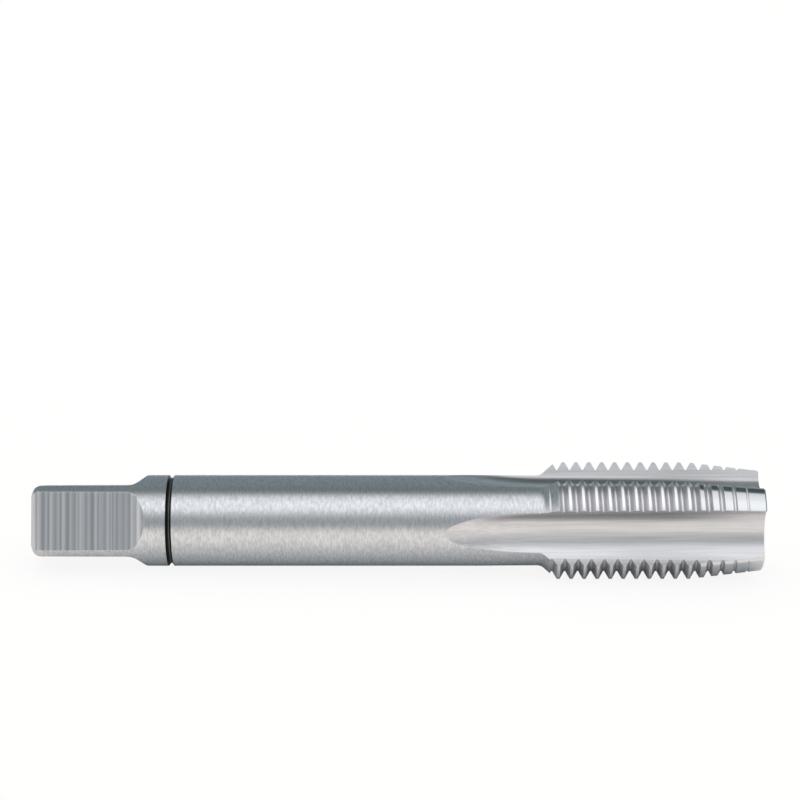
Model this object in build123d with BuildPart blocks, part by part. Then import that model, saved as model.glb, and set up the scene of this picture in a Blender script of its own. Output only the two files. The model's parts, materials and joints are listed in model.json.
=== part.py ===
from build123d import *
from math import acos, atan2, ceil, cos, degrees, radians, sin, tan
import os

# Hand tap, M18 x 2, right-hand thread, ground from one bar of tool steel.
#
# It is built upright on its own axis: Z runs from the drive end (Z = 0) to the cutting tip, and
# angles are counted about Z by the right-hand rule, from X, which points down the middle of a flute.
# The last step lays it down on the surface where it comes to rest.

# ---- Driving dimensions, in millimetres and degrees ----

length = 112.0
shank_diameter = 14.0

square_across_flats = 10.85
square_length = 14.6             # straight part of the flats
square_run_out_radius = 3.0
square_run_out_slope = 40.0
square_turn = -18.5              # from the middle of a flute to the middle of a flat

end_face_diameter = 10.2         # what the rounding leaves flat at the drive end
end_rounding_length = 1.2
end_rounding_bulge = 0.28

ring_position = 21.2
ring_width = 0.9
ring_floor = 0.3
ring_depth = 0.42

thread_start = 80.4              # where the neck reaches the full thread diameter
neck_slope = 42.0
neck_fillet = 1.6

thread_diameter = 18.2
pitch = 2.0
thread_depth = 1.2
thread_angle = 60.0
crest_flat = 0.45
first_root_back = 1.28           # the first root's middle, behind thread_start

lead_length = 11.0
lead_slope = 6.8
tip_bevel = 0.2

flute_count = 4
land_width = 32.9                # degrees of the thread diameter
core_diameter = 10.2
flute_floor_radius = 5.4
flute_corner_radius = 0.8
flute_run_out_start = 63.2       # where the flutes leave the shank
wheel_radius = 73.0

centre_pilot_diameter = 2.0
centre_mouth_diameter = 4.25
centre_depth = 3.9
centre_angle = 60.0

# ---- How far the cutters reach past the surfaces that they cut ----

end_overshoot = 1.0
side_overshoot = 1.8
crest_overshoot = 0.3
land_overrun = 6.0               # degrees past each edge of a land

# ---- Sizes worked out from them ----

shank_radius = shank_diameter / 2
thread_radius = thread_diameter / 2
root_radius = thread_radius - thread_depth
core_radius = core_diameter / 2
clear_radius = thread_radius + side_overshoot

land_spacing = 360 / flute_count
flute_half_width = (land_spacing - land_width) / 2
neck_start = thread_start - (thread_radius - shank_radius) / tan(radians(neck_slope))
lead_start = length - lead_length
tip_radius = thread_radius - lead_length * tan(radians(lead_slope))

# ---- The blank: every turned and cylindrically ground surface ----

with BuildPart() as blank:
    with BuildSketch(Plane.XZ) as outline:
        with BuildLine():
            Polyline((0, length), (0, 0), (end_face_diameter / 2, 0))
            SagittaArc((end_face_diameter / 2, 0), (shank_radius, end_rounding_length), end_rounding_bulge)
            Polyline(
                (shank_radius, end_rounding_length),
                (shank_radius, ring_position - ring_width / 2),
                (shank_radius - ring_depth, ring_position - ring_floor / 2),
                (shank_radius - ring_depth, ring_position + ring_floor / 2),
                (shank_radius, ring_position + ring_width / 2),
                (shank_radius, neck_start),
                (thread_radius, thread_start),
                (thread_radius, lead_start),
                (tip_radius, length),
                (0, length),
            )
        make_face()
        fillet(outline.vertices().sort_by_distance((shank_radius, neck_start))[0], neck_fillet)
        chamfer(outline.vertices().sort_by_distance((tip_radius, length))[0], tip_bevel)
    revolve(axis=Axis.Z)
    with Locations(-Plane.XY, Plane.XY.offset(length)):
        CounterSinkHole(
            radius=centre_pilot_diameter / 2,
            counter_sink_radius=centre_mouth_diameter / 2,
            depth=centre_depth,
            counter_sink_angle=centre_angle,
        )

# ---- One side of the drive square: a milled flat that runs out in an arc and a slope ----

slope_start = square_run_out_radius * (1 - cos(radians(square_run_out_slope)))
slope_start_at = square_length + square_run_out_radius * sin(radians(square_run_out_slope))
flat_height = square_across_flats / 2
slope_rise = clear_radius - flat_height - slope_start
slope_end_at = slope_start_at + slope_rise / tan(radians(square_run_out_slope))

with BuildPart() as flat_cutter:
    with BuildSketch(Plane.XZ):
        with BuildLine():
            Line((flat_height, -end_overshoot), (flat_height, square_length))
            TangentArc(
                (flat_height, square_length),
                (flat_height + slope_start, slope_start_at),
                tangent=(0, 1),
            )
            Polyline(
                (flat_height + slope_start, slope_start_at),
                (clear_radius, slope_end_at),
                (clear_radius, -end_overshoot),
                (flat_height, -end_overshoot),
            )
        make_face()
    extrude(amount=shank_diameter, both=True)

# ---- One flute: a radial cutting face and a round floor, run out by the grinding wheel ----
# The floor's arc touches the core circle and meets the thread's outside at the next land's heel.

floor_distance = core_radius + flute_floor_radius
floor_lean = degrees(acos(
    (floor_distance**2 + thread_radius**2 - flute_floor_radius**2) / (2 * floor_distance * thread_radius)
))
floor_direction = flute_half_width - floor_lean
run_out_length = (wheel_radius**2 - (wheel_radius - shank_radius + core_radius)**2) ** 0.5
full_depth_start = flute_run_out_start + run_out_length

with BuildPart() as flute_cutter:
    with BuildSketch(Plane.XY.offset(full_depth_start)) as flute_section:
        with PolarLocations(floor_distance, 1, start_angle=floor_direction):
            Circle(flute_floor_radius)
        with Locations(Rotation(0, 0, -flute_half_width)):
            Rectangle(
                2 * clear_radius + flute_floor_radius,
                2 * flute_floor_radius,
                align=(Align.MIN, Align.MAX),
                mode=Mode.SUBTRACT,
            )
        fillet(flute_section.vertices().sort_by_distance((0, 0))[0], flute_corner_radius)
    extrude(amount=length - full_depth_start + end_overshoot)
    revolve(
        flute_section.sketch,
        axis=Axis((core_radius + wheel_radius, 0, full_depth_start), (0, -1, 0)),
        revolution_arc=90,
    )

# ---- One thread space over one land: a V cut along a short piece of the helix ----

root_flat = pitch - crest_flat - 2 * thread_depth * tan(radians(thread_angle / 2))
space_reach = thread_depth + crest_overshoot
space_mouth = root_flat + 2 * space_reach * tan(radians(thread_angle / 2))
sweep_angle = land_width + 2 * land_overrun

with BuildPart() as thread_space:
    with BuildLine() as helix:
        Helix(pitch=pitch, height=pitch * sweep_angle / 360, radius=root_radius)
    with BuildSketch(Plane(helix.line @ 0, x_dir=(1, 0, 0), z_dir=helix.line % 0)):
        with BuildLine():
            Polyline(
                (0, -root_flat / 2),
                (0, root_flat / 2),
                (space_reach, space_mouth / 2),
                (space_reach, -space_mouth / 2),
                close=True,
            )
        make_face()
    sweep(path=helix.line, is_frenet=True)

# ---- The tap, upright ----

space_step = pitch / flute_count
first_space = thread_start - first_root_back
thread_end = min(length, lead_start + thread_depth / tan(radians(lead_slope)))
space_count = ceil((thread_end - first_space) / space_step)
space_places = [
    Location(
        (0, 0, first_space + space_step * (index - sweep_angle / 2 / land_spacing)),
        (0, 0, land_spacing * (index - 0.5) - sweep_angle / 2),
    )
    for index in range(space_count)
]

with BuildPart() as upright:
    add(blank.part)
    with PolarLocations(0, 4, start_angle=square_turn):
        add(flat_cutter.part, mode=Mode.SUBTRACT)
    with PolarLocations(0, flute_count):
        add(flute_cutter.part, mode=Mode.SUBTRACT)
    with Locations(*space_places):
        add(thread_space.part, mode=Mode.SUBTRACT)

# ---- The tap as it lies: a flute straight down, on two lands' first crests and on the shank ----

land_edge_height = thread_radius * cos(radians(flute_half_width))
shank_rest = square_length + (shank_radius - flat_height) / tan(radians(square_run_out_slope))
slope = atan2(land_edge_height - shank_radius, thread_start - shank_rest)
lying = Plane(origin=(0, 0, 0), x_dir=(0, -1, 0), z_dir=(cos(slope), 0, sin(slope)))

with BuildPart(lying) as tap:
    add(upright.part)

tap.part.label = "tap"
os.makedirs("parts", exist_ok=True)
export_step(tap.part, "parts/tap.step")
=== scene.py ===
"""A ground M18 x 2 hand tap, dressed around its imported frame, with the studio that it lies in."""

import json
from functools import partial
from math import acos, asin, atan2, cos, pi, radians, sin, tan

import bmesh
import bpy
from mathutils import Matrix, Vector


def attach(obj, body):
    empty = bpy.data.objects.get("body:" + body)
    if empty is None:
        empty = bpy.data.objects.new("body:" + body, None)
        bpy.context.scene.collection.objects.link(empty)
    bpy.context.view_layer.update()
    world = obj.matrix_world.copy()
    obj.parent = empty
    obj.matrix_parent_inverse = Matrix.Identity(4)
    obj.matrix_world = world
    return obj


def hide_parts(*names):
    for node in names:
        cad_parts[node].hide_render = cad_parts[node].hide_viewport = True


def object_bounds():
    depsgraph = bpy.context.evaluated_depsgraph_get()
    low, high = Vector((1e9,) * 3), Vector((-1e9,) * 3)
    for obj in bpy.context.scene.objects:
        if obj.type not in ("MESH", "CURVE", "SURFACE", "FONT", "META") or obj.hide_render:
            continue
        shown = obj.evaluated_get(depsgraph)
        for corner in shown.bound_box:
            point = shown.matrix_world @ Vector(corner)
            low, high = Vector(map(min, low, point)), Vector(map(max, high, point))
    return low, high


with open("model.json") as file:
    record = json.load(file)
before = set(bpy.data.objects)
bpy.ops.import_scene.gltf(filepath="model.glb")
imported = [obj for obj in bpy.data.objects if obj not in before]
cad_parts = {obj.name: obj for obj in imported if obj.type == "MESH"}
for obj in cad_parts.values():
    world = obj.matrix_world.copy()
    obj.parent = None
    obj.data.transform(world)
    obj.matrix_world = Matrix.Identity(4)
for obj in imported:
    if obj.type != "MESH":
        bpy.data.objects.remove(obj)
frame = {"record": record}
cad_low, cad_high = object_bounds()

bl_info = {
    "name": "Hand Tap",
    "version": (1, 0, 0),
    "blender": (4, 5, 0),
    "location": "3D View > Sidebar > Hand Tap",
    "description": "Grinds a hand tap from a turned blank, finishes it and lights it",
    "category": "Object",
}

MM = 0.001
NODE = "tap"
BODY = "root"

# The tool's own axes in the frame: Z runs from the drive end to the tip, and X down the middle of
# a flute.
mounts = {mount["name"]: mount for mount in frame["record"]["mounts"]}
TOOL_Z = -Vector(mounts["shank"]["axis"])
TOOL_X = Vector((0.0, -1.0, 0.0))
TOOL_Y = TOOL_Z.cross(TOOL_X)
TOOL = Matrix((TOOL_X, TOOL_Y, TOOL_Z)).transposed().to_4x4()
AXIS_SLOPE = asin(TOOL_Z.z)


def linear(code):
    """An sRGB hex colour as linear red, green and blue."""
    values = [int(code[i : i + 2], 16) / 255 for i in (1, 3, 5)]
    return [v / 12.92 if v <= 0.04045 else ((v + 0.055) / 1.055) ** 2.4 for v in values]


# ---- Sizes and colours that a user may change ----


def length_property(name, millimetres, description):
    """A length, given in millimetres."""
    return bpy.props.FloatProperty(
        name=name,
        description=description,
        default=millimetres * MM,
        unit="LENGTH",
        precision=5,
    )


def angle_property(name, degrees, description):
    """An angle, given in degrees."""
    return bpy.props.FloatProperty(
        name=name, description=description, default=radians(degrees), unit="ROTATION"
    )


def colour_property(name, code, description):
    """A colour, given as sRGB hex."""
    return bpy.props.FloatVectorProperty(
        name=name,
        description=description,
        default=linear(code),
        subtype="COLOR",
        size=3,
        min=0,
        max=1,
    )


class TapSizes(bpy.types.PropertyGroup):
    """The tap's driving sizes."""

    length: length_property("Length", 112.0, "From the drive end to the tip")
    shank_diameter: length_property("Shank diameter", 14.0, "Diameter of the plain shank")
    across_flats: length_property("Across flats", 10.85, "Width of the drive square")
    square_length: length_property("Square length", 14.6, "Straight part of the flats")
    flat_drop: length_property("Flat edge drop", 1.8, "How far the flats' ends are rounded down")
    flat_rounding: length_property("Flat edge rounding", 1.8, "Length of that rounding")
    run_out_radius: length_property(
        "Square run-out radius", 3.0, "Arc that leads a flat into its slope"
    )
    run_out_slope: angle_property(
        "Square run-out slope", 40.0, "Slope at which a flat leaves the shank"
    )
    square_turn: angle_property(
        "Square turn", -18.5, "From the middle of a flute to that of a flat"
    )
    end_face: length_property("End face", 10.2, "Diameter left flat at the drive end")
    end_rounding: length_property("End rounding", 1.2, "Length of the rounding at the drive end")
    end_bulge: length_property("End bulge", 0.28, "Height of the rounding's arc over its chord")
    ring_position: length_property("Ring position", 21.2, "Middle of the marking ring")
    ring_width: length_property("Ring width", 0.9, "Width of the ring groove at the shank")
    ring_floor: length_property("Ring floor", 0.3, "Width of the ring groove's floor")
    ring_depth: length_property("Ring depth", 0.42, "Depth of the ring groove")
    thread_start: length_property(
        "Thread start", 80.4, "Where the neck reaches the thread diameter"
    )
    neck_slope: angle_property("Neck slope", 42.0, "Slope from the shank up to the thread")
    neck_fillet: length_property("Neck fillet", 1.6, "Radius where the shank meets the neck")
    thread_diameter: length_property("Thread diameter", 18.2, "Diameter over the thread's crests")
    pitch: length_property("Pitch", 2.0, "Distance from crest to crest")
    thread_depth: length_property("Thread depth", 1.2, "From the crest to the root")
    crest_flat: length_property(
        "Crest flat", 0.45, "Width of the crest before its edges are broken"
    )
    crest_break: length_property("Crest break", 0.05, "Rounding along the crest's edges")
    first_root_back: length_property(
        "First root", 1.28, "First root's middle, behind the thread's start"
    )
    lead_length: length_property("Lead length", 11.0, "Length of the tapered lead")
    lead_slope: angle_property("Lead slope", 6.8, "Slope of the lead")
    lead_relief: length_property(
        "Lead relief", 0.12, "How far the lead falls behind its cutting edges"
    )
    heel_relief: length_property("Heel relief", 0.35, "How much further it falls at the heels")
    heel_width: angle_property("Heel width", 4.0, "Part of a land that is relieved as its heel")
    heel_run_in: length_property("Heel run-in", 1.5, "Length over which the relief grows")
    tip_bevel: length_property("Tip bevel", 0.2, "Bevel at the tip")
    land_width: angle_property("Land width", 32.9, "Width of a land at the thread diameter")
    core_diameter: length_property("Core diameter", 10.2, "Diameter left under the flutes")
    floor_radius: length_property("Flute floor radius", 5.4, "Arc of the flute's floor")
    corner_radius: length_property("Flute corner radius", 1.5, "Arc under the cutting face")
    flute_start: length_property("Flute start", 63.2, "Where the flutes leave the shank")
    flute_taper: angle_property(
        "Flute taper", 0.8, "Slope at which the flutes deepen from the thread's start"
    )
    wheel_radius: length_property(
        "Wheel radius", 73.0, "Radius of the wheel that grinds the flutes"
    )
    pilot_diameter: length_property("Centre pilot diameter", 2.0, "Small hole of the centres")
    mouth_diameter: length_property("Centre mouth diameter", 4.25, "Wide end of the centres' cones")
    centre_depth: length_property("Centre depth", 3.9, "Depth of the centres")


class TapColours(bpy.types.PropertyGroup):
    """The tap's colours."""

    steel: colour_property("Steel", "#d3d6d9", "Colour of the bare ground steel")
    flute: colour_property("Flute", "#e0e1e3", "Colour of the flutes' grind")
    flank: colour_property("Thread flank", "#e4e4e6", "Colour of the thread's flanks")
    ring: colour_property("Ring", "#1d2422", "Colour of the marking ring's black oxide")
    floor: colour_property("Floor", "#f4f5f4", "Colour of the studio's floor")


# ---- Helpers ----

# Kinds of node that are used throughout.
MATH = "ShaderNodeMath"
VECTOR = "ShaderNodeCombineXYZ"
PARTS = "ShaderNodeSeparateXYZ"
SPAN = "ShaderNodeMapRange"


def add_node(tree, kind, inputs=None, **settings):
    """Adds a node, sets its properties, and fills its inputs. A node or a socket is linked, and a
    node stands for its first output."""
    node = tree.nodes.new(kind)
    for name, value in settings.items():
        setattr(node, name, value)
    for key, value in (inputs or {}).items():
        if isinstance(value, bpy.types.Node):
            value = value.outputs[0]
        if isinstance(value, bpy.types.NodeSocket):
            tree.links.new(value, node.inputs[key])
        else:
            node.inputs[key].default_value = value
    return node


def link_object(name, data):
    """A new object in the scene."""
    made = bpy.data.objects.new(name, data)
    bpy.context.scene.collection.objects.link(made)
    return made


def arc_points(centre, radius, start, end, steps):
    """Points along an arc, both ends included."""
    turns = [start + (end - start) * i / steps for i in range(steps + 1)]
    return [(centre[0] + radius * cos(t), centre[1] + radius * sin(t)) for t in turns]


def section_curve(name, points):
    """A closed flat outline, for a cutter to be swept from."""
    curve = bpy.data.curves.new(name, "CURVE")
    spline = curve.splines.new("POLY")
    spline.points.add(len(points) - 1)
    for point, (x, y) in zip(spline.points, points):
        point.co = (x, y, 0, 1)
    spline.use_cyclic_u = True
    return link_object(name, curve)


# ---- Shapes ----

LANDS = 4
FLATS = 4
CENTRE_HALF_ANGLE = radians(30)
FLANK_HALF_ANGLE = radians(30)

# How far the cutters reach past the surfaces that they cut.
END_CLEARANCE = 1.0 * MM             # past the drive end and the tip
CREST_CLEARANCE = 0.12 * MM          # past the thread's crests
FLAT_HALF_REACH = 12 * MM            # to each side, across a flat
FLAT_CLEARANCE = 1.2                 # height of a flat's cutter, in thread radii
WHEEL_SWEEP = 0.4                    # radians of the wheel's arc, enough to leave the shank

# The thread's rounded root: how far out its points lie, and how wide, in half widths of the flat
# root that a sharp-cornered cutter would leave.
ROOT_POINTS = ((0.0, 1.35), (0.3, 1.7))
ROOT_FLANK_START = 1.8               # where the straight flank starts
# The broken crest: its middle point's depth and width and its outer width, in crest breaks.
BREAK_DEPTH, BREAK_WIDTH, BREAK_OUTER_WIDTH = 0.3, 0.12, 0.4

# How finely the curves are divided.
AROUND = 288                         # facets round the blank
END_ROUNDING_STEPS = 12
NECK_FILLET_STEPS = 8
CORNER_STEPS = 12
FLOOR_STEPS = 64
RUN_OUT_STEPS = 10
FLAT_ROUNDING_STEPS = 8
HELIX_STEPS = 160                    # in each turn of the thread
FLUTE_STEP = 0.45 * MM               # along a flute

SHARP_ANGLE = radians(24)            # faces that meet at more than this keep a sharp edge
SAME_PLACE = 1e-7                    # points nearer than this, in metres, are one

# The grinding tree's inputs, by the kind of their sockets.
TREE_INPUTS = {
    "NodeSocketFloat": (
        "Length", "Core radius", "Wheel radius", "Full depth start", "Root radius", "Pitch",
        "Helix start", "Square turn", "Taper", "Taper start",
    ),
    "NodeSocketInt": ("Turns", "Flutes", "Flats"),
    "NodeSocketObject": ("Flute section", "Thread section", "Flat section"),
}


def blank_profile(s):
    """The turned blank's outline from the drive centre round to the tip centre, as (radius, place,
    finish), where the finish is that of the face that ends at the point."""
    shank, thread = s.shank_diameter / 2, s.thread_diameter / 2
    pilot, mouth = s.pilot_diameter / 2, s.mouth_diameter / 2
    cone = (mouth - pilot) / tan(CENTRE_HALF_ANGLE)
    neck_start = s.thread_start - (thread - shank) / tan(s.neck_slope)
    lead_start = s.length - s.lead_length
    tip = thread - s.lead_length * tan(s.lead_slope)
    outline = [
        (0, s.centre_depth, "turned"),
        (pilot, s.centre_depth, "turned"),
        (pilot, cone, "turned"),
        (mouth, 0, "turned"),
        (s.end_face / 2, 0, "turned"),
    ]

    # The drive end's rounding: an arc that bulges from its chord.
    start, end = Vector((s.end_face / 2, 0)), Vector((shank, s.end_rounding))
    chord = end - start
    radius = (chord.length**2 / 4 + s.end_bulge**2) / (2 * s.end_bulge)
    out = Vector((chord.y, -chord.x)).normalized()
    centre = (start + end) / 2 - out * (radius - s.end_bulge)
    first, last = start - centre, end - centre
    turn = first.angle(last)
    for i in range(1, END_ROUNDING_STEPS + 1):
        at = centre + (Matrix.Rotation(turn * i / END_ROUNDING_STEPS, 2) @ first)
        outline.append((at.x, at.y, "turned"))

    # The ring groove.
    outline += [
        (shank, s.ring_position - s.ring_width / 2, "shank"),
        (shank - s.ring_depth, s.ring_position - s.ring_floor / 2, "ring"),
        (shank - s.ring_depth, s.ring_position + s.ring_floor / 2, "ring"),
        (shank, s.ring_position + s.ring_width / 2, "ring"),
    ]

    # The shank, its fillet and the neck.
    back = s.neck_fillet * tan(s.neck_slope / 2)
    for i in range(NECK_FILLET_STEPS + 1):
        t = s.neck_slope * i / NECK_FILLET_STEPS
        r = shank + s.neck_fillet * (1 - cos(t))
        outline.append((r, neck_start - back + s.neck_fillet * sin(t), "shank"))
    outline.append((thread, s.thread_start, "shank"))

    # The thread's outside, the lead, the bevel, the end face and its centre.
    bevel = s.tip_bevel
    run_in = s.heel_run_in
    outline += [
        (thread, lead_start, "crest"),
        (thread - run_in * tan(s.lead_slope), lead_start + run_in, "lead"),
        (tip + bevel * tan(s.lead_slope), s.length - bevel, "lead"),
        (tip - bevel, s.length, "lead"),
        (mouth, s.length, "turned"),
        (pilot, s.length - cone, "turned"),
        (pilot, s.length - s.centre_depth, "turned"),
        (0, s.length - s.centre_depth, "turned"),
    ]
    return outline


def lead_drop(s, turn, place):
    """How far the lead is ground down behind a land's cutting edge."""
    spacing = 2 * pi / LANDS
    # The angle behind the edge: 0 at the edge, and the land's whole width at its heel.
    lag = min(max(s.land_width / 2 - ((turn % spacing) - spacing / 2), 0), s.land_width)
    heel = max(lag - s.land_width + s.heel_width, 0) / s.heel_width
    drop = s.lead_relief * lag / s.land_width + s.heel_relief * heel
    return drop * min((place - (s.length - s.lead_length)) / s.heel_run_in, 1)


def turned_blank(s, materials):
    """The blank as a closed mesh in the tool's own axes, with its lead relieved."""
    outline = blank_profile(s)
    lead_start = s.length - s.lead_length
    mesh = bpy.data.meshes.new("blank")
    for material in materials.values():
        mesh.materials.append(material)
    names = list(materials)
    shape = bmesh.new()
    lead = shape.faces.layers.bool.new("lead")
    rings = []
    for radius, place, _ in outline:
        if radius == 0:
            rings.append([shape.verts.new((0, 0, place))])
            continue
        relieved = place > lead_start and radius > s.mouth_diameter / 2
        ring = []
        for i in range(AROUND):
            turn = 2 * pi * i / AROUND
            r = radius - (lead_drop(s, turn, place) if relieved else 0.0)
            ring.append(shape.verts.new((r * cos(turn), r * sin(turn), place)))
        rings.append(ring)
    for lower, upper, (_, _, finish) in zip(rings, rings[1:], outline[1:]):
        for i in range(AROUND):
            j = (i + 1) % AROUND
            if len(lower) == 1:
                corners = [lower[0], upper[j], upper[i]]
            elif len(upper) == 1:
                corners = [lower[i], lower[j], upper[0]]
            else:
                corners = [lower[i], lower[j], upper[j], upper[i]]
            face = shape.faces.new(corners)
            face.material_index = names.index(finish)
            face[lead] = finish == "lead"
    bmesh.ops.recalc_face_normals(shape, faces=shape.faces)
    shape.to_mesh(mesh)
    shape.free()
    return mesh


def flute_outline(s):
    """One flute's section in the tool's cross-section, its middle on X: a radial cutting face, the
    corner under it, and a round floor that touches the core and meets the thread's outside at the
    next land's heel."""
    core, thread = s.core_diameter / 2, s.thread_diameter / 2
    half_width = (2 * pi / LANDS - s.land_width) / 2
    reach = core + s.floor_radius
    lean = acos((reach**2 + thread**2 - s.floor_radius**2) / (2 * reach * thread))
    centre_turn = half_width - lean
    # Worked out beside the cutting face first: x along the face, y away from it.
    apart = centre_turn + half_width
    centre = Vector((reach * cos(apart), reach * sin(apart)))
    corner_y = s.corner_radius
    gap = s.floor_radius - s.corner_radius
    corner = Vector((centre.x - (gap**2 - (centre.y - corner_y) ** 2) ** 0.5, corner_y))
    inward = (corner - centre).normalized()
    floor_from = atan2(inward.y, inward.x) + 2 * pi
    far = (s.floor_radius**2 - centre.y**2) ** 0.5
    floor_to = -asin(centre.y / s.floor_radius)
    points = [(centre.x + far, 0.0)]
    points += arc_points(corner, s.corner_radius, -pi / 2, floor_from - 2 * pi, CORNER_STEPS)
    points += arc_points(centre, s.floor_radius, floor_from, floor_to, FLOOR_STEPS)[1:-1]
    turned = Matrix.Rotation(-half_width, 2)
    return [tuple(turned @ Vector(p)) for p in reversed(points)]


def thread_outline(s):
    """The thread space's section: x out from the root, y along the tool."""
    slope = tan(FLANK_HALF_ANGLE)
    root_half = (s.pitch - s.crest_flat) / 2 - s.thread_depth * slope
    crest_half = (s.pitch - s.crest_flat) / 2
    flank = ROOT_FLANK_START * root_half
    outer = crest_half + BREAK_OUTER_WIDTH * s.crest_break
    half = [(out * root_half, wide * root_half) for out, wide in ROOT_POINTS]
    half += [
        (flank, root_half + flank * slope),
        (s.thread_depth - s.crest_break, crest_half - s.crest_break * slope),
        (s.thread_depth - BREAK_DEPTH * s.crest_break, crest_half + BREAK_WIDTH * s.crest_break),
        (s.thread_depth, outer),
        (s.thread_depth + CREST_CLEARANCE, outer),
    ]
    return [(x, -y) for x, y in half] + half[::-1]


def flat_outline(s):
    """One flat's cutter from the side: x is its height over the axis, and y is minus the place
    along the tool."""
    height = s.across_flats / 2
    clear = FLAT_CLEARANCE * s.thread_diameter / 2
    rounding = []
    for i in range(FLAT_ROUNDING_STEPS, 0, -1):
        t = pi / 2 * i / FLAT_ROUNDING_STEPS
        rounding.append((height - s.flat_drop * (1 - cos(t)), -s.flat_rounding * (1 - sin(t))))
    run_out = []
    for i in range(RUN_OUT_STEPS + 1):
        t = s.run_out_slope * i / RUN_OUT_STEPS
        x = height + s.run_out_radius * (1 - cos(t))
        run_out.append((x, -s.square_length - s.run_out_radius * sin(t)))
    last_x, last_y = run_out[-1]
    return [
        (height - s.flat_drop, END_CLEARANCE),
        *rounding,
        *run_out,
        (clear, last_y - (clear - last_x) / tan(s.run_out_slope)),
        (clear, END_CLEARANCE),
    ]


def flute_path(tree, given):
    """The line that a flute's section follows: up the tool's axis, after the wheel's arc, which
    leads it in from outside the shank. Beyond the thread's start it deepens by the taper."""
    add = partial(add_node, tree)
    full_depth = given["Full depth start"]
    arc = add(MATH, {0: given["Core radius"], 1: given["Wheel radius"]}, operation="ADD")
    swing = add(MATH, {0: arc, 1: WHEEL_SWEEP}, operation="MULTIPLY")
    low = add(MATH, {0: full_depth, 1: swing}, operation="SUBTRACT")
    high = add(MATH, {0: given["Length"], 1: END_CLEARANCE}, operation="ADD")
    start, end = add(VECTOR, {"Z": low}), add(VECTOR, {"Z": high})
    line = add("GeometryNodeCurvePrimitiveLine", {"Start": start, "End": end})
    line = add("GeometryNodeResampleCurve", {"Curve": line, "Length": FLUTE_STEP}, mode="LENGTH")

    # The straight line's points below the full depth are wound onto the wheel's arc.
    along = add(PARTS, {0: add("GeometryNodeInputPosition")}).outputs["Z"]
    before = add(MATH, {0: full_depth, 1: along}, operation="SUBTRACT")
    past = add(MATH, {0: before, 1: 0.0}, operation="MAXIMUM")
    turn = add(MATH, {0: past, 1: arc}, operation="DIVIDE")
    cosine = add(MATH, {0: turn}, operation="COSINE")
    sine = add(MATH, {0: turn}, operation="SINE")
    straight = add(MATH, {0: along, 1: full_depth}, operation="MAXIMUM")
    fallen = add(MATH, {0: arc, 1: sine}, operation="MULTIPLY")
    height = add(MATH, {0: straight, 1: fallen}, operation="SUBTRACT")
    beyond = add(MATH, {0: given["Taper start"], 1: height}, operation="SUBTRACT")
    tapered = add(MATH, {0: beyond, 1: 0.0}, operation="MINIMUM")
    taper = add(MATH, {0: given["Taper"], 1: tapered}, operation="MULTIPLY")
    versine = add(MATH, {0: 1.0, 1: cosine}, operation="SUBTRACT")
    lifted = add(MATH, {0: arc, 1: versine}, operation="MULTIPLY")
    out = add(MATH, {0: lifted, 1: taper}, operation="ADD")

    # The facing is kept on the points before they move, because moving them would change it.
    facing = add(VECTOR, {"X": cosine, "Z": sine})
    line = add("GeometryNodeSetCurveNormal", {"Curve": line, "Normal": facing}, mode="FREE")
    place = add(VECTOR, {"X": out, "Z": height})
    return add("GeometryNodeSetPosition", {"Geometry": line, "Position": place})


def thread_path(tree, given):
    """One helix, from below the first root to past the tip."""
    add = partial(add_node, tree)
    height = add(MATH, {0: given["Turns"], 1: given["Pitch"]}, operation="MULTIPLY")
    helix = add("GeometryNodeCurveSpiral", {
        "Resolution": HELIX_STEPS,
        "Rotations": given["Turns"],
        "Start Radius": given["Root radius"],
        "End Radius": given["Root radius"],
        "Height": height,
        "Reverse": True,
    })
    return add("GeometryNodeSetCurveNormal", {"Curve": helix}, mode="Z_UP")


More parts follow.
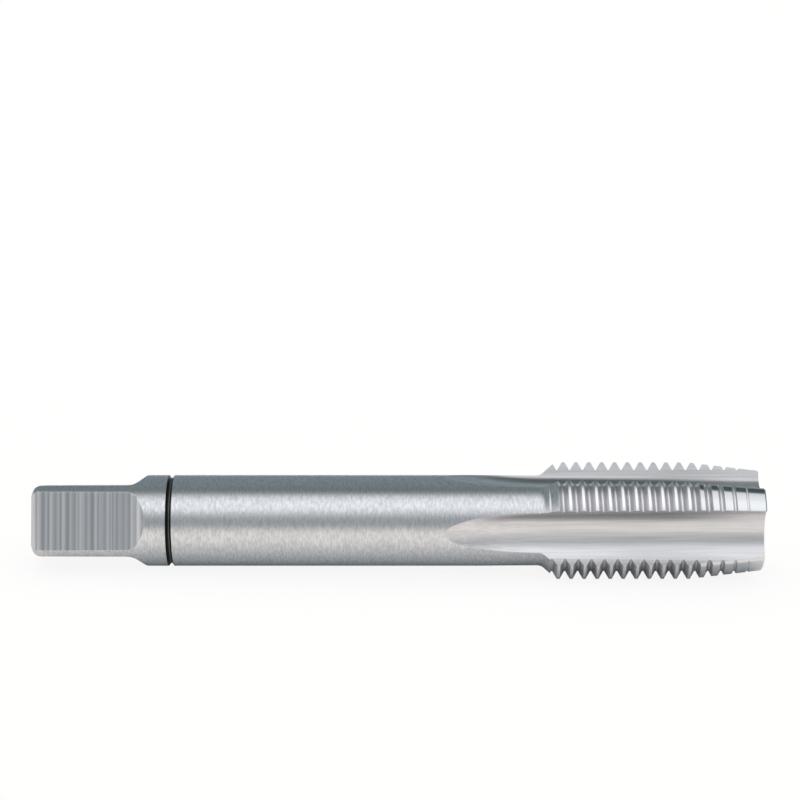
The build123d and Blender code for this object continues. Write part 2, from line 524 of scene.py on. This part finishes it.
def grinding_tree(materials):
    """The node tree that cuts the flats, the flutes and the thread into the blank."""
    tree = bpy.data.node_groups.new("tap_grinding", "GeometryNodeTree")
    add = partial(add_node, tree)
    sockets = tree.interface
    sockets.new_socket("Geometry", in_out="INPUT", socket_type="NodeSocketGeometry")
    for kind, names in TREE_INPUTS.items():
        for name in names:
            sockets.new_socket(name, in_out="INPUT", socket_type=kind)
    sockets.new_socket("Geometry", in_out="OUTPUT", socket_type="NodeSocketGeometry")
    given = add("NodeGroupInput").outputs

    def swept(path, section, finish):
        """A solid swept along a path, which leaves its own finish on what it cuts."""
        outline = add("GeometryNodeObjectInfo", {"Object": given[section]}).outputs["Geometry"]
        solid = add(
            "GeometryNodeCurveToMesh",
            {"Curve": path, "Profile Curve": outline, "Fill Caps": True},
        )
        return add("GeometryNodeSetMaterial", {"Geometry": solid, "Material": materials[finish]})

    def around(cutter, count, start):
        """Copies of a cutter, spaced evenly round the tool."""
        points = add("GeometryNodePoints", {"Count": count})
        copies = add("GeometryNodeInstanceOnPoints", {"Points": points, "Instance": cutter})
        index = add("GeometryNodeInputIndex")
        spacing = add(MATH, {0: 2 * pi, 1: count}, operation="DIVIDE")
        steps = add(MATH, {0: index, 1: spacing}, operation="MULTIPLY")
        turn = add(MATH, {0: start, 1: steps}, operation="ADD")
        rotation = add(VECTOR, {"Z": turn})
        return add("GeometryNodeRotateInstances", {"Instances": copies, "Rotation": rotation})

    flute = swept(flute_path(tree, given), "Flute section", "flute")
    flutes = around(flute, given["Flutes"], 0.0)

    thread = add("GeometryNodeTransform", {
        "Geometry": swept(thread_path(tree, given), "Thread section", "flank"),
        "Translation": add(VECTOR, {"Z": given["Helix start"]}),
        "Rotation": (0, 0, -2 * pi / LANDS),
    })

    ends = {"Start": (0, -FLAT_HALF_REACH, 0), "End": (0, FLAT_HALF_REACH, 0)}
    across = add("GeometryNodeCurvePrimitiveLine", ends)
    across = add("GeometryNodeSetCurveNormal", {"Curve": across}, mode="Z_UP")
    flats = around(swept(across, "Flat section", "flat"), given["Flats"], given["Square turn"])

    body = given["Geometry"]
    for cutter in (flats, flutes, thread):
        cutter = add("GeometryNodeRealizeInstances", {"Geometry": cutter})
        body = add(
            "GeometryNodeMeshBoolean",
            {"Mesh 1": body, "Mesh 2": cutter},
            operation="DIFFERENCE",
            solver="MANIFOLD",
        )
    body = add("GeometryNodeRealizeInstances", {"Geometry": body})
    lead = add("GeometryNodeInputNamedAttribute", {"Name": "lead"}, data_type="BOOLEAN")
    body = add("GeometryNodeSetMaterial", {
        "Geometry": body,
        "Selection": lead.outputs["Attribute"],
        "Material": materials["lead"],
    })
    add("NodeGroupOutput", {0: body})
    return tree


def set_inputs(modifier, values):
    """Sets a node modifier's inputs by their sockets' identifiers."""
    for item in modifier.node_group.interface.items_tree:
        if item.in_out == "INPUT" and item.name in values:
            modifier[item.identifier] = values[item.name]


def sharpen(mesh):
    """Smooth faces, with sharp edges at corners and where two grinds meet."""
    shape = bmesh.new()
    shape.from_mesh(mesh)
    bmesh.ops.remove_doubles(shape, verts=shape.verts, dist=SAME_PLACE)
    for face in shape.faces:
        face.smooth = True
    for edge in shape.edges:
        faces = edge.link_faces
        edge.smooth = (
            len(faces) == 2
            and faces[0].material_index == faces[1].material_index
            and faces[0].normal.angle(faces[1].normal, 0) < SHARP_ANGLE
        )
    shape.to_mesh(mesh)
    shape.free()


def check_cuts(mesh, materials):
    """Stops the script if a finish is missing, because then a cutter has left the blank as it
    was."""
    found = {mesh.materials[face.material_index].name for face in mesh.polygons}
    missing = [finish for finish, material in materials.items() if material.name not in found]
    if missing:
        raise RuntimeError("no face of the tap is finished as " + ", ".join(missing))


def ground_tap(s, materials):
    """The finished tap's mesh, in the frame."""
    blank = link_object("blank", turned_blank(s, materials))
    sections = {
        "Flute section": section_curve("flute_section", flute_outline(s)),
        "Thread section": section_curve("thread_section", thread_outline(s)),
        "Flat section": section_curve("flat_section", flat_outline(s)),
    }
    core, shank = s.core_diameter / 2, s.shank_diameter / 2
    run_out = (s.wheel_radius**2 - (s.wheel_radius - shank + core) ** 2) ** 0.5
    first_root = s.thread_start - s.first_root_back
    # The helix starts in the middle of a flute, half a land's step before the first root.
    helix_start = first_root - s.pitch / LANDS * 0.5
    modifier = blank.modifiers.new("grinding", "NODES")
    modifier.node_group = grinding_tree(materials)
    set_inputs(modifier, {
        "Length": s.length,
        "Core radius": core,
        "Wheel radius": s.wheel_radius,
        "Full depth start": s.flute_start + run_out,
        "Root radius": s.thread_diameter / 2 - s.thread_depth,
        "Pitch": s.pitch,
        "Helix start": helix_start,
        "Square turn": s.square_turn,
        "Taper": tan(s.flute_taper),
        "Taper start": s.thread_start,
        "Turns": int((s.length - first_root) / s.pitch) + 2,
        "Flutes": LANDS,
        "Flats": FLATS,
        **sections,
    })
    bpy.context.view_layer.update()
    evaluated = blank.evaluated_get(bpy.context.evaluated_depsgraph_get())
    mesh = bpy.data.meshes.new_from_object(evaluated)
    blank.modifiers.remove(modifier)
    for leftover in (blank, *sections.values()):
        bpy.data.objects.remove(leftover)
    check_cuts(mesh, materials)
    sharpen(mesh)
    mesh.transform(TOOL)
    mesh.name = "ground_tap"
    return mesh


# ---- Finishes ----

EDGE_ROUNDING = 0.09 * MM            # radius of the worn edges
EDGE_SAMPLES = 6
GRAIN_ROUGHNESS = 0.6                # weight of the finer marks within a grain
NOISE_SPAN = (0.3, 0.7)              # where most of a noise's values lie
STREAK_SPAN = (0.75, 1.25)           # the same for the sum of the flutes' two

MILL_FEED = 0.95 * MM                # distance between the feed marks on the flats
FEED_WANDER = 9.0                    # radians that the marks stray from their even spacing
FEED_WEIGHT = 0.07                   # strength of the marks beside the drift of the colour
FEED_SPAN = (0.36, 0.64)             # where most of the two's sum lies

RING_HIGHLIGHT = 21.3 * MM                 # where a painted highlight runs along the ring's floor, from the drive end
RING_HIGHLIGHT_EDGES = (0.02 * MM, 0.12 * MM)  # from full to none, to each side
RING_HIGHLIGHT_SHARE = 0.35                # share of bare steel where the painted highlight is full

# Painted shade in the flutes, in the corner under each cutting face and on the cutting face:
PAINTED_SHADE_SHARE = 0.45                         # share of the colour left where the painted shade is full
FACE_SHADE_SHARE = 0.84                    # share of the colour left by the painted shade on the cutting face above the corner
SHADE_RADII = (6.3 * MM, 7.0 * MM)   # from full to faint, up the cutting face
SHADE_TURNS = (radians(-25), radians(-15))  # full to none, on the floor, from the flute's middle
SHADE_FADE = (98 * MM, 109 * MM)     # where the painted shade fades towards the tip
SHADE_FADE_SHARE = 0.75              # share of the painted shade that is gone at the tip


def steel(name, colour, roughness, metallic=1.0, anisotropic=0.0):
    """A bare steel material, with its tree and its shader."""
    material = bpy.data.materials.new(name)
    material.use_nodes = True
    tree = material.node_tree
    shader = tree.nodes["Principled BSDF"]
    shader.inputs["Metallic"].default_value = metallic
    shader.inputs["Base Color"].default_value = (*colour, 1)
    shader.inputs["Roughness"].default_value = roughness
    shader.inputs["Anisotropic"].default_value = anisotropic
    return material, tree, shader


def tool_place(tree):
    """The place on the tap, turned so that X runs along the tool from its drive end."""
    place = add_node(tree, "ShaderNodeTexCoord").outputs["Object"]
    turned = {"Vector": place, "Rotation": (0, AXIS_SLOPE, 0)}
    return add_node(tree, "ShaderNodeMapping", turned, vector_type="POINT")


def grain(tree, along, across, detail):
    """Marks from 0 to 1 that are so long along the tool and so wide across it, in millimetres."""
    sizes = (along * MM, across * MM, across * MM)
    scaled = {"Vector": tool_place(tree), "Scale": [1 / v for v in sizes]}
    place = add_node(tree, "ShaderNodeMapping", scaled)
    marks = {"Vector": place, "Scale": 1.0, "Detail": detail}
    marks["Roughness"] = GRAIN_ROUGHNESS
    return add_node(tree, "ShaderNodeTexNoise", marks)


def times(colour, share):
    """A colour made darker or lighter."""
    return [v * share for v in colour]


def two_tone(tree, marks, first, second, span=NOISE_SPAN, shares=(0, 1)):
    """A colour whose share of the second goes through the shares while the marks cross their
    span."""
    share = add_node(tree, SPAN, {
        "Value": marks,
        "From Min": span[0],
        "From Max": span[1],
        "To Min": shares[0],
        "To Max": shares[1],
    })
    colours = {"Factor": share, 6: (*first, 1), 7: (*second, 1)}
    return add_node(tree, "ShaderNodeMix", colours, data_type="RGBA").outputs[2]


def roughen(tree, shader, marks, low, high):
    """Roughens the steel from low to high as its marks do."""
    share = add_node(tree, SPAN, {
        "Value": marks,
        "From Min": NOISE_SPAN[0],
        "From Max": NOISE_SPAN[1],
        "To Min": low,
        "To Max": high,
    })
    tree.links.new(share.outputs[0], shader.inputs["Roughness"])


def wear(tree, shader, marks=None, depth=0.0, strength=1.0):
    """Rounds every sharp edge a little, as handling does, so that the edges catch the light, and
    presses the marks in to their depth."""
    rounded = {"Radius": EDGE_ROUNDING}
    normal = add_node(tree, "ShaderNodeBevel", rounded, samples=EDGE_SAMPLES)
    if marks is not None:
        pressed = {"Height": marks, "Distance": depth, "Strength": strength, "Normal": normal}
        normal = add_node(tree, "ShaderNodeBump", pressed)
    tree.links.new(normal.outputs[0], shader.inputs["Normal"])


def ground_shank(c):
    """High-speed steel, cylindrically ground: satin, with fine marks round it that speckle its
    lights. The marks are drawn about four times as coarse as the grit leaves them, so that they
    show."""
    material, tree, shader = steel("ground_shank", c.steel, roughness=0.33, anisotropic=0.15)
    marks = grain(tree, along=0.28, across=0.8, detail=3)
    fine = grain(tree, along=0.14, across=4, detail=3)
    roughen(tree, shader, marks, low=0.37, high=0.29)
    colour = two_tone(tree, marks, times(c.steel, 0.80), times(c.steel, 1.15))
    tree.links.new(colour, shader.inputs["Base Color"])
    wear(tree, shader, fine, depth=0.004 * MM, strength=0.3)
    return material


def turned_end(c):
    """The same steel as turned: a little rougher and greyer on the ends and in the centres."""
    material, tree, shader = steel("turned_end", times(c.steel, 0.85), roughness=0.34)
    marks = grain(tree, along=0.2, across=0.6, detail=3)
    wear(tree, shader, marks, depth=0.01 * MM, strength=0.4)
    return material


def milled_flat(c):
    """Side-milled steel: feed marks across the flat, about a millimetre apart, that catch the light
    in bands. They wander a little, and the colour drifts along the flat."""
    material, tree, shader = steel("milled_flat", times(c.steel, 0.9), roughness=0.36)
    add = partial(add_node, tree)
    along = add(PARTS, {0: tool_place(tree)}).outputs["X"]
    drift = grain(tree, along=0.9, across=600, detail=2)
    even = add(MATH, {0: along, 1: 2 * pi / MILL_FEED}, operation="MULTIPLY")
    wander = add(MATH, {0: drift, 1: FEED_WANDER}, operation="MULTIPLY")
    turns = add(MATH, {0: even, 1: wander}, operation="ADD")
    wave = add(MATH, {0: turns}, operation="SINE")
    weighed = add(MATH, {0: wave, 1: FEED_WEIGHT}, operation="MULTIPLY")
    feed = add(MATH, {0: weighed, 1: drift}, operation="ADD")
    fine = grain(tree, along=0.12, across=60, detail=3)
    colour = two_tone(tree, feed, times(c.steel, 0.68), times(c.steel, 1.16), span=FEED_SPAN)
    tree.links.new(colour, shader.inputs["Base Color"])
    wear(tree, shader, fine, depth=0.01 * MM, strength=0.4)
    return material


def black_ring(c):
    """Black oxide in the marking ring: dull and nearly black, with a painted highlight along its
    floor, a thin lighter line of bare-steel colour."""
    material, tree, shader = steel("black_oxide_ring", c.ring, roughness=0.4, metallic=0.6)
    along = add_node(tree, PARTS, {0: tool_place(tree)}).outputs["X"]
    aside = add_node(tree, MATH, {0: along, 1: RING_HIGHLIGHT}, operation="SUBTRACT")
    apart = add_node(tree, MATH, {0: aside}, operation="ABSOLUTE")
    # A painted highlight: a thin line of lighter colour along the ring's floor.
    highlight_colour = times(c.steel, 0.5)
    colour = two_tone(tree, apart, c.ring, highlight_colour, RING_HIGHLIGHT_EDGES, (RING_HIGHLIGHT_SHARE, 0.0))
    tree.links.new(colour, shader.inputs["Base Color"])
    roughen(tree, shader, grain(tree, along=0.3, across=0.8, detail=3), low=0.3, high=0.5)
    return material


def corner_painted_shade(tree):
    """A share of the colour, from the painted shade's least share up to 1: painted shade, dark in
    the corner under each cutting face and lighter on the face above it, and fading towards the tip."""
    add = partial(add_node, tree)
    parts = add(PARTS, {0: tool_place(tree)}).outputs
    # Polar places in the tool's cross-section, and the turn from the nearest flute's middle.
    across = add(MATH, {0: parts["Y"], 1: -1.0}, operation="MULTIPLY")
    up = add(MATH, {0: parts["Z"], 1: -1.0}, operation="MULTIPLY")
    full_turn = add(MATH, {0: up, 1: across}, operation="ARCTAN2")
    turn = add(MATH, {0: full_turn, 1: pi / LANDS, 2: -pi / LANDS}, operation="WRAP")
    across_squared = add(MATH, {0: across, 1: across}, operation="MULTIPLY")
    up_squared = add(MATH, {0: up, 1: up}, operation="MULTIPLY")
    squares = add(MATH, {0: across_squared, 1: up_squared}, operation="ADD")
    out = add(MATH, {0: squares}, operation="SQRT")

    corner = add(SPAN, {
        "Value": out,
        "From Min": SHADE_RADII[0],
        "From Max": SHADE_RADII[1],
        "To Min": PAINTED_SHADE_SHARE,
        "To Max": FACE_SHADE_SHARE,
    }, interpolation_type="SMOOTHSTEP")
    painted_shade = add(SPAN, {
        "Value": turn,
        "From Min": SHADE_TURNS[0],
        "From Max": SHADE_TURNS[1],
        "To Min": corner,
        "To Max": 1.0,
    }, interpolation_type="SMOOTHSTEP")
    fade = add(SPAN, {
        "Value": parts["X"],
        "From Min": SHADE_FADE[0],
        "From Max": SHADE_FADE[1],
        "To Min": 0.0,
        "To Max": SHADE_FADE_SHARE,
    })
    kept = add(MATH, {0: 1.0, 1: fade}, operation="SUBTRACT")
    left = add(MATH, {0: painted_shade, 1: kept}, operation="MULTIPLY")
    return add(MATH, {0: left, 1: fade}, operation="ADD")


def ground_flute(c):
    """Flute ground by a formed wheel: long streaks down the flute, drawn coarser than the grit
    leaves them, so that they show."""
    material, tree, shader = steel("ground_flute", c.flute, roughness=0.42)
    streaks = grain(tree, along=14, across=0.2, detail=4)
    broad = grain(tree, along=30, across=0.9, detail=2)
    both = add_node(tree, MATH, {0: streaks, 1: broad}, operation="ADD")
    bare = two_tone(tree, both, times(c.flute, 0.84), times(c.flute, 1.08), span=STREAK_SPAN)
    # Painted shade darkens the flute's colour in the corner under each cutting face.
    shaded_flute = add_node(
        tree, "ShaderNodeVectorMath", {0: bare, "Scale": corner_painted_shade(tree)}, operation="SCALE"
    )
    tree.links.new(shaded_flute.outputs[0], shader.inputs["Base Color"])
    wear(tree, shader, streaks, depth=0.006 * MM, strength=0.35)
    return material


def ground_flank(c):
    """Thread flanks from a dressed wheel: fine lines along the helix, darker than the lands."""
    material, tree, shader = steel("ground_flank", c.flank, roughness=0.3)
    lines = grain(tree, along=0.08, across=3, detail=3)
    colour = two_tone(tree, lines, times(c.flank, 0.8), c.flank)
    tree.links.new(colour, shader.inputs["Base Color"])
    wear(tree, shader)
    return material


def ground_crest(c):
    """Crests as ground to size: bright and even."""
    material, tree, shader = steel("ground_crest", times(c.steel, 1.2), roughness=0.2)
    roughen(tree, shader, grain(tree, along=0.1, across=4, detail=3), low=0.16, high=0.26)
    wear(tree, shader)
    return material


def ground_lead(c):
    """The lead, ground last with a fine wheel: close to a mirror."""
    material, tree, shader = steel("ground_lead", c.steel, roughness=0.07)
    roughen(tree, shader, grain(tree, along=0.1, across=4, detail=3), low=0.05, high=0.09)
    wear(tree, shader)
    return material


def finishes(c):
    """Every finish of the tap, by the surface that wears it."""
    return {
        "shank": ground_shank(c),
        "turned": turned_end(c),
        "ring": black_ring(c),
        "crest": ground_crest(c),
        "lead": ground_lead(c),
        "flat": milled_flat(c),
        "flute": ground_flute(c),
        "flank": ground_flank(c),
    }


# ---- Studio ----

CAMERA_ELEVATION = radians(20)
CAMERA_TILT = radians(2.96)          # turns the view up from the tool's axis
CAMERA_DISTANCE = 360 * MM
CAMERA_PLACE = 56.4 * MM             # where along the tool it looks
CAMERA_LENS = 104.7                  # focal length in millimetres
CAMERA_CLIP = 10 * MM

FLOOR_SIZE = 6.0
CONTACT_REACH = 10 * MM              # how near the tap the card's painted shade starts
CONTACT_SHADE = 0.72                 # share of the card's colour where the gap is closed
CONTACT_SAMPLES = 8
# Shares of plain white over the card, by the ray that meets it.
WHITE_SHARES = (("Is Camera Ray", 0.9), ("Is Glossy Ray", 0.04), ("Is Transmission Ray", 0.35))

LAMP_ELEVATION = radians(115)        # 0 is level in front, 90 degrees is overhead
LAMP_DISTANCE = 0.9                  # metres, as are its length and width
LAMP_LENGTH = 1.2
LAMP_WIDTH = 1.04
LAMP_POWER = 8.2
LAMP_COLOUR = (1.0, 0.80, 0.69)

# The room's light by elevation round the tool: 0 is level in front, 90 degrees is overhead and
# 180 is level behind.
ROOM_LIGHT = (
    (0, 0.42, "#f4fbff"),
    (16, 0.37, "#eef8ff"),
    (28, 0.44, "#f2f9ff"),
    (36, 0.70, "#fbfcff"),
    (44, 1.20, "#fdfdff"),
    (52, 1.36, "#fdfdff"),
    (62, 1.36, "#fdfdff"),
    (76, 1.14, "#fdfdff"),
    (85, 0.98, "#fdfdff"),
    (90, 0.21, "#d9efec"),
    (93, 0.13, "#cfe8e3"),
    (103, 0.15, "#cfe8e3"),
    (114, 0.31, "#e2f6ff"),
    (180, 0.35, "#e2f6ff"),
)


def tool_point(place):
    """A point on the tool's axis, that far from the drive end."""
    return TOOL @ Vector((0, 0, place))


def studio_camera():
    """A camera level with the tool's axis, a little above it."""
    aim = tool_point(CAMERA_PLACE)
    right = TOOL_Z.normalized()
    back = Vector((0, -cos(CAMERA_ELEVATION), sin(CAMERA_ELEVATION)))
    back = (back - right * back.dot(right)).normalized()
    # Turning the view up leaves the tool's axis below the middle of the frame.
    view = Matrix.Rotation(CAMERA_TILT, 3, right) @ back
    up = view.cross(right)
    turned = Matrix((right, up, view)).transposed().to_4x4()
    data = bpy.data.cameras.new("camera")
    data.lens = CAMERA_LENS
    data.clip_start = CAMERA_CLIP
    camera = link_object("camera", data)
    camera.matrix_world = Matrix.Translation(aim + back * CAMERA_DISTANCE) @ turned
    bpy.context.scene.camera = camera


def overhead_lamp():
    """A soft lamp that faces the tap. It lights the card and casts the tap's shadow on it, and the
    steel shows the room's own window and not this lamp."""
    data = bpy.data.lights.new("overhead", "AREA")
    data.shape = "RECTANGLE"
    data.size, data.size_y = LAMP_LENGTH, LAMP_WIDTH
    data.energy = LAMP_POWER
    data.color = LAMP_COLOUR
    lamp = link_object("overhead", data)
    lamp.visible_glossy = False
    towards = Vector((0, -cos(LAMP_ELEVATION), sin(LAMP_ELEVATION)))
    lamp.location = tool_point(CAMERA_PLACE) + towards * LAMP_DISTANCE
    lamp.rotation_mode = "QUATERNION"
    lamp.rotation_quaternion = towards.to_track_quat("Z", "Y")


def white_floor(colour):
    """A pale sheet of card, seen white by the camera and in the steel, that keeps the tap's shadow.
    Painted shade is added to its colour in the gap beside the tap."""
    mesh = bpy.data.meshes.new("floor")
    half = FLOOR_SIZE / 2
    corners = [(-half, -half), (half, -half), (half, half), (-half, half)]
    mesh.from_pydata([(x, y, cad_low.z) for x, y in corners], [], [(0, 1, 2, 3)])
    floor = link_object("floor", mesh)
    material = bpy.data.materials.new("white_card")
    material.use_nodes = True
    tree = material.node_tree
    tree.nodes.clear()
    add = partial(add_node, tree)

    # Painted shade: ambient occlusion darkens the card's colour in the narrow gap beside the tap,
    # where little of the room's light gets in, on top of the real shadow.
    reach = {"Distance": CONTACT_REACH}
    gap = add("ShaderNodeAmbientOcclusion", reach, samples=CONTACT_SAMPLES)
    shade = add(SPAN, {"Value": gap.outputs["AO"], "To Min": CONTACT_SHADE, "To Max": 1.0})
    shaded = add("ShaderNodeVectorMath", {0: colour, "Scale": shade}, operation="SCALE")
    card = add("ShaderNodeBsdfDiffuse", {"Color": shaded})
    white = add("ShaderNodeEmission", {"Color": (1, 1, 1, 1), "Strength": 1.0})

    rays = add("ShaderNodeLightPath").outputs
    whites = [add(MATH, {0: rays[ray], 1: n}, operation="MULTIPLY") for ray, n in WHITE_SHARES]
    white_share = whites[0]
    for other in whites[1:]:
        white_share = add(MATH, {0: white_share, 1: other}, operation="ADD")
    look = add("ShaderNodeMixShader", {0: white_share, 1: card, 2: white})
    add("ShaderNodeOutputMaterial", {0: look})
    mesh.materials.append(material)


def studio_world():
    """A room with one long soft window above the front of the bench, and darker walls."""
    world = bpy.data.worlds.new("room")
    world.use_nodes = True
    tree = world.node_tree
    add = partial(add_node, tree)
    way = add("ShaderNodeTexCoord").outputs["Generated"]
    parts = add(PARTS, {0: way}).outputs
    front = add(MATH, {0: parts["Y"], 1: -1.0}, operation="MULTIPLY")
    turn = add(MATH, {0: parts["Z"], 1: front}, operation="ARCTAN2")
    share = add(MATH, {0: turn, 1: pi}, operation="DIVIDE")
    ramp = add("ShaderNodeValToRGB", {0: share})
    ramp.color_ramp.interpolation = "EASE"
    stops = ramp.color_ramp.elements
    brightest = max(light for _, light, _ in ROOM_LIGHT)
    while len(stops) < len(ROOM_LIGHT):
        stops.new(0.5)
    for stop, (elevation, light, code) in zip(stops, ROOM_LIGHT):
        stop.position = elevation / 180
        stop.color = (*(v * light / brightest for v in linear(code)), 1)
    background = tree.nodes["Background"]
    tree.links.new(ramp.outputs["Color"], background.inputs["Color"])
    background.inputs["Strength"].default_value = brightest
    bpy.context.scene.world = world


# ---- Operators ----


class BuildTap(bpy.types.Operator):
    """Grinds the tap from its blank and puts it in its CAD node's place"""

    bl_idname = "hand_tap.build_tap"
    bl_label = "Build Tap"

    def execute(self, context):
        materials = finishes(context.scene.tap_colours)
        mesh = ground_tap(context.scene.tap_sizes, materials)
        tap = link_object("ground_tap", mesh)
        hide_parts(NODE)
        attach(tap, BODY)
        return {"FINISHED"}


class BuildStage(bpy.types.Operator):
    """Sets the floor, the room, the camera and the lamp"""

    bl_idname = "hand_tap.build_stage"
    bl_label = "Build Stage"

    def execute(self, context):
        context.scene.view_settings.view_transform = "Standard"
        white_floor(context.scene.tap_colours.floor)
        studio_world()
        studio_camera()
        overhead_lamp()
        return {"FINISHED"}


class HandTapPanel(bpy.types.Panel):
    """Lists the tap's operators, sizes and colours"""

    bl_idname = "VIEW3D_PT_hand_tap"
    bl_label = "Hand Tap"
    bl_space_type = "VIEW_3D"
    bl_region_type = "UI"
    bl_category = "Hand Tap"

    def draw(self, context):
        layout = self.layout
        for operator in (BuildTap, BuildStage):
            layout.operator(operator.bl_idname)
        for group in (context.scene.tap_sizes, context.scene.tap_colours):
            box = layout.box()
            for name in group.__annotations__:
                box.prop(group, name)


CLASSES = (TapSizes, TapColours, BuildTap, BuildStage, HandTapPanel)


def register():
    """Adds the classes and the scene's properties."""
    for cls in CLASSES:
        bpy.utils.register_class(cls)
    bpy.types.Scene.tap_sizes = bpy.props.PointerProperty(type=TapSizes)
    bpy.types.Scene.tap_colours = bpy.props.PointerProperty(type=TapColours)


def unregister():
    """Removes them again."""
    del bpy.types.Scene.tap_colours
    del bpy.types.Scene.tap_sizes
    for cls in reversed(CLASSES):
        bpy.utils.unregister_class(cls)


def main():
    """Builds everything."""
    register()
    bpy.ops.hand_tap.build_tap()
    bpy.ops.hand_tap.build_stage()


if __name__ == "__main__":
    main()
